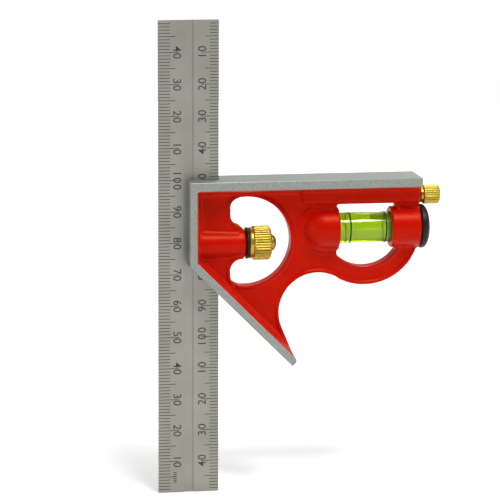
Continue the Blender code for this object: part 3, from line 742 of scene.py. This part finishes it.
def blade_blocks():
    """The rule as blocks between breaks along x, y and z: 1 steel, -1 black fill, 0 cut away."""
    front, back = metric_ticks(), inch_ticks()
    xs = {BLADE_LEFT, BLADE_INSIDE, BLADE_MIDDLE - GROOVE_WIDTH / 2, BLADE_MIDDLE + GROOVE_WIDTH / 2}
    zs = {0.0, BLADE_LENGTH}
    for height, left, right in front + back:
        zs |= {round(height - TICK_WIDTH / 2, 4), round(height + TICK_WIDTH / 2, 4)}
        xs |= {round(BLADE_LEFT + left, 4), round(BLADE_INSIDE - right, 4)}
    xs, zs = sorted(xs), sorted(zs)
    ys = [-BLADE_HALF, -BLADE_HALF + TICK_DEPTH, -BLADE_HALF + GROOVE_DEPTH]
    ys += [BLADE_HALF - TICK_DEPTH, BLADE_HALF]
    x_middle = (np.array(xs[1:]) + np.array(xs[:-1])) / 2
    z_middle = (np.array(zs[1:]) + np.array(zs[:-1])) / 2
    blocks = np.ones((len(x_middle), len(ys) - 1, len(z_middle)), int)
    for ticks, layer in ((front, 0), (back, -1)):
        for height, left, right in ticks:
            rows = np.abs(z_middle - height) < TICK_WIDTH / 2
            short = (x_middle < BLADE_LEFT + left) | (x_middle > BLADE_INSIDE - right)
            blocks[:, layer][np.outer(short, rows)] = -1
    in_groove = np.abs(x_middle - BLADE_MIDDLE) < GROOVE_WIDTH / 2
    blocks[in_groove, 0:2] = 0
    return (xs, ys, zs), blocks


def block_sides(builder, breaks, blocks):
    """Adds the faces between steel and anything else."""
    padded = np.zeros([n + 2 for n in blocks.shape], int)
    padded[1:-1, 1:-1, 1:-1] = blocks
    xs, ys, zs = breaks
    corners = {}

    def corner(i, j, k):
        if (i, j, k) not in corners:
            corners[i, j, k] = builder.verts.new((xs[i], ys[j], zs[k] - BLADE_BELOW))
        return corners[i, j, k]

    for axis in range(3):
        u, v = (axis + 1) % 3, (axis + 2) % 3
        near = np.take(padded, range(padded.shape[axis] - 1), axis)
        away = np.take(padded, range(1, padded.shape[axis]), axis)
        for spot in np.argwhere((near > 0) != (away > 0)):
            loop = []
            for du, dv in ((0, 0), (1, 0), (1, 1), (0, 1)):
                at = spot.copy()
                at[u] += du - 1
                at[v] += dv - 1
                loop.append(corner(*at))
            if near[tuple(spot)] <= 0:
                loop.reverse()
            face = builder.faces.new(loop)
            face.material_index = int(-1 in (near[tuple(spot)], away[tuple(spot)]))


def at_corner(vertex):
    """Whether a vertex of the blade is on one of its four corner edges."""
    from_side = BLADE_WIDTH / 2 - abs(vertex.co.x - BLADE_MIDDLE)
    from_end = BLADE_LENGTH / 2 - abs(vertex.co.z + BLADE_BELOW - BLADE_LENGTH / 2)
    return abs(from_side) < 0.001 and abs(from_end) < 0.001


def blade(steel, fill):
    """The rule, with its groove, its engraved graduations and its rounded corners."""
    builder = bmesh.new()
    block_sides(builder, *blade_blocks())
    corner_edges = [edge for edge in builder.edges if all(at_corner(vertex) for vertex in edge.verts)]
    bmesh.ops.bevel(builder, geom=corner_edges, affect="EDGES",
                    offset=CORNER_ROUND, segments=3, profile=0.5)
    rule = to_object("rule", builder, [steel, fill], smooth=False)
    return placed(rule, "blade", "satin_steel", "blade")


def text_mesh(text, size):
    """Numbers or unit letters as a thin solid, centred, in the xy plane."""
    curve = bpy.data.curves.new("text", "FONT")
    curve.body = text
    curve.size = size
    curve.align_x = "CENTER"
    curve.align_y = "CENTER"
    curve.extrude = TEXT_HALF
    curve.resolution_u = 4
    curve.offset = 0.015
    curve.space_character = 1.2
    thing = bpy.data.objects.new("text", curve)
    bpy.context.scene.collection.objects.link(thing)
    bpy.context.view_layer.update()
    mesh = bpy.data.meshes.new_from_object(thing)
    bpy.data.objects.remove(thing)
    bpy.data.curves.remove(curve)
    return mesh


def lay_text(builder, text, size, x, height, turn, back=False):
    """Sets text flush into one face of the rule, centred at x and a height above the lower end."""
    mesh = text_mesh(text, size)
    part = bmesh.new()
    part.from_mesh(mesh)
    angle = radians(turn)
    for vertex in part.verts:
        across, up, out = vertex.co
        level = -BLADE_HALF - TEXT_PROUD + TEXT_HALF - out
        across, up = across * cos(angle) - up * sin(angle), across * sin(angle) + up * cos(angle)
        if back:
            vertex.co = (x - across, -level, height - BLADE_BELOW + up)
        else:
            vertex.co = (x + across, level, height - BLADE_BELOW + up)
    bmesh.ops.remove_doubles(part, verts=part.verts, dist=0.001)
    bmesh.ops.recalc_face_normals(part, faces=part.faces)
    part.to_mesh(mesh)
    part.free()
    builder.from_mesh(mesh)
    bpy.data.meshes.remove(mesh)


def markings(fill):
    """The numbers on both faces, joined into one piece.

    On the front the left edge counts up from the lower end and the right edge down from the upper
    end, and numbers past 100 drop their leading 1. The back counts inches, each number beside its
    graduation: up from the lower end on one edge, and down to it on the other.
    """
    builder = bmesh.new()
    for ten in range(1, 15):
        height = 10 * ten
        label = str(height if height <= 100 else height - 100)
        lay_text(builder, label, METRIC_SIZE, BLADE_LEFT + 5.8, height, -90)
        lay_text(builder, label, METRIC_SIZE, BLADE_INSIDE - 5.1, BLADE_LENGTH - height, 90)
    lay_text(builder, "mm", UNIT_SIZE, BLADE_LEFT + 5.3, 4.8, -90)
    for inch in range(1, 6):
        height = INCH * inch
        lay_text(builder, str(inch), INCH_SIZE, BLADE_INSIDE - 5.6, height + 1.7, -90, back=True)
        lay_text(builder, str(6 - inch), INCH_SIZE, BLADE_LEFT + 5.6, height - 1.7, 90, back=True)
    return placed(to_object("rule_markings", builder, [fill], smooth=False), "blade", "satin_steel")


# ---- the clamp nut ----------------------------------------------------------------------------
def ribs(count, depth, span, fade):
    """Radius of a straight knurl: sharp valleys between flat ribs, run out over fade at each end."""
    def reach(x, radius, angle):
        inside = min(x - span[0], span[1] - x)
        share = max(0.0, min(1.0, inside / fade))
        phase = (angle * count / (2 * pi)) % 1.0
        valley = max(0.0, 1.0 - abs(phase - 0.5) / 0.3)
        return radius - depth * share * valley
    return reach


def clamp_nut(metal):
    """Smooth collar, knurled rim with rounded ends, domed nose and blind threaded bore."""
    rib_left = NUT_RIB_LEFT_X
    rib_right = NUT_RIB_RIGHT_X
    left = NUT_COLLAR_X
    outer = [(rib_left - 0.12, 4.95), (rib_left, 5.15), (rib_left + 0.25, NUT_RADIUS)]
    outer += [(rib_left + 0.25 + 0.5 * i, NUT_RADIUS) for i in range(1, 10)]
    outer += [(rib_right - 1.0 + 1.0 * sin(t), NUT_RADIUS - 1.9 + 1.9 * cos(t))
              for t in [pi / 2 * i / 7 for i in range(8)]]
    nose = [(rib_right, 2.95), (rib_right + 0.05, 2.85)]
    nose += [(rib_right + NUT_NOSE_LENGTH * sin(t), 2.8 * cos(t))
             for t in [pi / 2 * i / 9 for i in range(1, 9)]]
    profile = [(NUT_BORE_END_X, 0), (NUT_BORE_END_X, NUT_BORE), (left, NUT_BORE)]
    profile += [(left, 4.55), (left + 0.12, 4.82), (left + 0.4, 4.95)]
    profile += outer + nose + [(rib_right + NUT_NOSE_LENGTH, 0)]
    reach = ribs(NUT_RIBS, 0.3, (rib_left, rib_right - 0.3), 0.6)
    nut = turned("brass_nut", profile, BOLT_Z, metal, NUT_RIBS * 8,
                 lambda x, r, a: reach(x, r, a) if r > 3.5 and x > rib_left - 0.2 else r)
    return placed(nut, "clamp_nut", "brass", "clamp_nut")


def clamp_washer(rubber):
    """The black washer between the boss and the nut."""
    left = BOLT_BOSS_END_X + 0.1
    right = left + WASHER_THICKNESS
    loop = [(left, NUT_BORE), (left, 5.0), (right, 5.0), (right, NUT_BORE)]
    washer = turned("black_washer", curved(loop, {1: 0.4, 2: 0.3}), BOLT_Z, rubber)
    return placed(washer, "head", "black_rubber", "clamp_washer")


# ---- the level vial ---------------------------------------------------------------------------
def vial_barrel(acrylic):
    """The clear barrel, bored from its right end."""
    loop = [(VIAL_LEFT_X, 0), (VIAL_LEFT_X, VIAL_RADIUS), (VIAL_RIGHT_X, VIAL_RADIUS),
            (VIAL_RIGHT_X, CHAMBER_RADIUS), (CHAMBER_LEFT_X, CHAMBER_RADIUS), (CHAMBER_LEFT_X, 0)]
    barrel = turned("level_barrel", curved(loop, {1: 0.3, 2: 0.2}), VIAL_Z, acrylic)
    return placed(barrel, "head", "clear_acrylic", "vial_barrel")


def vial_liquid(spirit):
    """The spirit fills the chamber up to its plug."""
    radius = CHAMBER_RADIUS + 0.01
    left = CHAMBER_LEFT_X + 0.05
    right = VIAL_RIGHT_X - 3.45
    loop = [(left, 0), (left, radius), (right, radius), (right, 0)]
    liquid = turned("level_spirit", curved(loop, {1: 0.5, 2: 0.5}), VIAL_Z, spirit)
    return placed(liquid, "head", "green_spirit", "vial_liquid")


def vial_bubble(air):
    """The bubble, flattened where it presses against the top of the chamber."""
    builder = bmesh.new()
    centre_z = VIAL_Z + CHAMBER_RADIUS - 1.4
    rings = []
    steps = 20
    for i in range(steps + 1):
        t = pi * i / steps
        along = -cos(t)
        swell = sin(t) ** 0.55 if 0 < i < steps else 0
        x = BUBBLE_X + along * BUBBLE_LENGTH / 2
        if swell == 0:
            rings.append([builder.verts.new((x, 0, centre_z))])
            continue
        ring = []
        for k in range(32):
            angle = 2 * pi * k / 32
            y = BUBBLE_HALF_WIDTH * swell * sin(angle)
            z = centre_z + BUBBLE_HALF_HEIGHT * swell * cos(angle)
            away = sqrt(y * y + (z - VIAL_Z) ** 2)
            if away > CHAMBER_RADIUS - BUBBLE_GAP:
                shrink = (CHAMBER_RADIUS - BUBBLE_GAP) / away
                y, z = y * shrink, VIAL_Z + (z - VIAL_Z) * shrink
            ring.append(builder.verts.new((x, y, z)))
        rings.append(ring)
    skin(builder, rings, False)
    bmesh.ops.recalc_face_normals(builder, faces=builder.faces)
    for face in builder.faces:
        face.smooth = True
    return placed(to_object("air_bubble", builder, [air]), "bubble", "bubble_air", "vial_bubble")


def index_rings(ink):
    """The two black lines round the barrel."""
    for side, node in ((-1, "index_ring_left"), (1, "index_ring_right")):
        x = RING_MIDDLE_X + side * RING_GAP / 2
        inner = VIAL_RADIUS + 0.02
        outer = inner + 0.12
        loop = [(x - 0.22, inner), (x - 0.22, outer), (x + 0.22, outer), (x + 0.22, inner)]
        ring = turned("black_" + node, curved(loop, {1: 0.05, 2: 0.05}, 3), VIAL_Z, ink)
        placed(ring, "head", "index_ink", node)


def vial_end_cap(rubber):
    """The domed black cap over the open end of the vial's housing."""
    left = HEAD_LENGTH + 0.15
    plug_x = VIAL_RIGHT_X + 0.15
    plug_radius = VIAL_RADIUS - PRESS_FIT
    dome = [(left + 0.9 + 2.25 * sin(t), 6.95 * cos(t) ** 0.8)
            for t in [pi / 2 * i / 16 for i in range(1, 16)]]
    profile = [(plug_x, 0), (plug_x, plug_radius), (left, plug_radius), (left, 6.6)]
    profile += [(left + 0.1, 6.85), (left + 0.35, 6.95), (left + 0.9, 6.95)]
    cap = turned("black_end_cap", profile + dome + [(left + 3.15, 0)], VIAL_Z, rubber)
    return placed(cap, "head", "black_rubber", "vial_end_cap")


# ---- the scriber ------------------------------------------------------------------------------
def scriber_knob(metal):
    """The knurled knob on the end of the scriber."""
    rib_left = KNOB_X + 0.9
    hole_end = 78.8
    profile = [(hole_end, 0), (hole_end, SCRIBER_BORE), (KNOB_X, SCRIBER_BORE), (KNOB_X, 2.3)]
    profile += [(KNOB_X + 0.2, 2.5), (rib_left - 0.1, 2.5), (rib_left, 2.75)]
    profile += [(rib_left + 0.25, KNOB_RADIUS)]
    profile += [(rib_left + 0.25 + 0.5 * i, KNOB_RADIUS) for i in range(1, 8)]
    profile += [(KNOB_RIGHT_X - 0.9 + 0.9 * sin(t), KNOB_RADIUS - 1.2 + 1.2 * cos(t))
                for t in [pi / 2 * i / 6 for i in range(7)]]
    profile += [(KNOB_RIGHT_X, 0.9), (KNOB_RIGHT_X - 0.12, 0.6), (KNOB_RIGHT_X - 0.12, 0)]
    reach = ribs(KNOB_RIBS, 0.22, (rib_left, KNOB_RIGHT_X - 0.2), 0.5)
    knob = turned("brass_knob", profile, SCRIBER_Z, metal, KNOB_RIBS * 8,
                  lambda x, r, a: reach(x, r, a) if r > 1.8 and x > rib_left - 0.05 else r)
    return placed(knob, "scriber", "brass", "scriber_knob")


# ---- stage, light and camera ------------------------------------------------------------------
FLOOR_RADIUS = 0.95            # metres, like the other two and the distances of camera and lamps
GLOW_FROM = 0.3
GLOW_TO = 0.9
FLOOR_GAP = 0.05               # millimetres between the floor and the blade's lower end
ROOM_AS_SEEN = 1.0
ROOM_AS_LIGHT = 0.34
CAMERA_TURN = radians(9.77)
CAMERA_RISE = radians(10.08)
CAMERA_ROLL = radians(0.20)
CAMERA_DISTANCE = 1.0054
CAMERA_TARGET = (20.10 - ORIGIN_X, 0, -22.77)
LENS = 230.4


def floor():
    """A pale plain round floor that glows more and more towards its edge, painted light that fades it into
    the pale room.
    """
    builder = bmesh.new()
    bmesh.ops.create_circle(builder, cap_ends=True, radius=FLOOR_RADIUS, segments=96)
    mesh = bpy.data.meshes.new("floor")
    builder.to_mesh(mesh)
    builder.free()
    m = Nodes("floor_paper", Roughness=0.9, Specular_IOR_Level=0.1)
    m.link(m.ramp(m.noise(3, 2), [(0.3, (0.86, 0.86, 0.86)), (0.7, (0.89, 0.89, 0.89))]), "Base Color")
    away = m.add("ShaderNodeVectorMath", {0: m.place}, operation="LENGTH").outputs["Value"]
    # painted light: the floor's white emission rises from nothing near the middle to 0.6 towards its edge,
    # so that it melts into the room
    m.shader.inputs["Emission Color"].default_value = (1.0, 1.0, 1.0, 1.0)
    m.link(m.span(away, GLOW_FROM, GLOW_TO, 0.0, 0.6), "Emission Strength")
    mesh.materials.append(m.material)
    ground = bpy.data.objects.new("floor", mesh)
    bpy.context.scene.collection.objects.link(ground)
    ground.location.z = -(BLADE_BELOW + FLOOR_GAP) * MM


def lamp(name, place, size, power):
    """A soft square lamp that faces the head."""
    light = bpy.data.lights.new(name, "AREA")
    light.shape = "SQUARE"
    light.size = size
    light.energy = power
    thing = bpy.data.objects.new(name, light)
    bpy.context.scene.collection.objects.link(thing)
    thing.location = place
    aim = Vector((0, 0, -0.02)) - Vector(place)
    thing.rotation_euler = aim.to_track_quat("-Z", "Y").to_euler()


def lighting():
    """A pale room, dimmer in the light that it gives than in what is seen of it, and soft lamps."""
    world = bpy.data.worlds.new("room")
    bpy.context.scene.world = world
    world.use_nodes = True
    tree = world.node_tree
    sky = tree.nodes["Background"]
    sky.inputs["Color"].default_value = (1.0, 1.0, 1.0, 1.0)
    path = tree.nodes.new("ShaderNodeLightPath")
    seen = tree.nodes.new("ShaderNodeMath")
    seen.operation = "MAXIMUM"
    tree.links.new(path.outputs["Is Camera Ray"], seen.inputs[0])
    tree.links.new(path.outputs["Is Transmission Ray"], seen.inputs[1])
    strength = tree.nodes.new("ShaderNodeMapRange")
    strength.inputs["To Min"].default_value = ROOM_AS_LIGHT
    strength.inputs["To Max"].default_value = ROOM_AS_SEEN
    tree.links.new(seen.outputs["Value"], strength.inputs["Value"])
    tree.links.new(strength.outputs["Result"], sky.inputs["Strength"])
    lamp("key", (0.15, -0.6, 1.05), 0.35, 9.5)
    lamp("fill", (-0.9, -0.6, 0.2), 0.5, 1.8)
    lamp("back", (0.45, 0.9, 0.9), 0.5, 5.5)
    lamp("side", (0.9, -0.2, 0.75), 0.3, 5.0)
    lamp("top", (0.0, 0.1, 1.6), 1.6, 9.0)


def camera():
    """A long lens, ten degrees from the left of the front and ten degrees above it."""
    turn = CAMERA_TURN
    rise = CAMERA_RISE
    target = Vector(CAMERA_TARGET) * MM
    toward = Vector((sin(turn) * cos(rise), cos(turn) * cos(rise), -sin(rise)))
    lens = bpy.data.cameras.new("camera")
    lens.sensor_width = 36.0
    lens.lens = LENS
    lens.clip_end = 20
    thing = bpy.data.objects.new("camera", lens)
    bpy.context.scene.collection.objects.link(thing)
    thing.location = target - toward * CAMERA_DISTANCE
    side = Vector((cos(turn), -sin(turn), 0))
    up = side.cross(toward)
    right = side * cos(CAMERA_ROLL) + up * sin(CAMERA_ROLL)
    over = up * cos(CAMERA_ROLL) - side * sin(CAMERA_ROLL)
    matrix = thing.matrix_world.to_3x3()
    matrix.col[0], matrix.col[1], matrix.col[2] = right, over, -toward
    thing.rotation_euler = matrix.to_euler()
    bpy.context.scene.camera = thing


# ---- everything ---------------------------------------------------------------------------------
camera()
lighting()
floor()
bpy.context.scene.view_settings.view_transform = "Standard"

rubber = black_moulding("black_rubber", (0.004, 0.0035, 0.0035), 0.42)
plastic = black_moulding("black_plastic", (0.012, 0.012, 0.012), 0.5)
ink = black_moulding("index_ink", (0.006, 0.006, 0.006), 0.4)
yellow_metal = brass()
fill = etched_black()
steels = {"drawbolt": plain_steel("blued_steel", (0.10, 0.10, 0.11), (0.18, 0.18, 0.19), 0.35),
          "drawbolt_spring": plain_steel("spring_steel", (0.30, 0.30, 0.31), (0.42, 0.42, 0.43), 0.28),
          "scriber_pin": plain_steel("hardened_steel", (0.38, 0.38, 0.39), (0.50, 0.50, 0.51), 0.2)}

head_casting(red_enamel(), machined_iron())
blade(satin_steel(), fill)
markings(fill)
clamp_nut(yellow_metal)
clamp_washer(rubber)
vial_barrel(clear_acrylic())
vial_liquid(green_spirit())
vial_bubble(bubble_air())
index_rings(ink)
vial_end_cap(rubber)
scriber_knob(yellow_metal)
for node, surface in {**steels, "vial_plug": plastic, "scriber_bush": yellow_metal}.items():
    for material_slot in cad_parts[node].material_slots:
        material_slot.material = surface
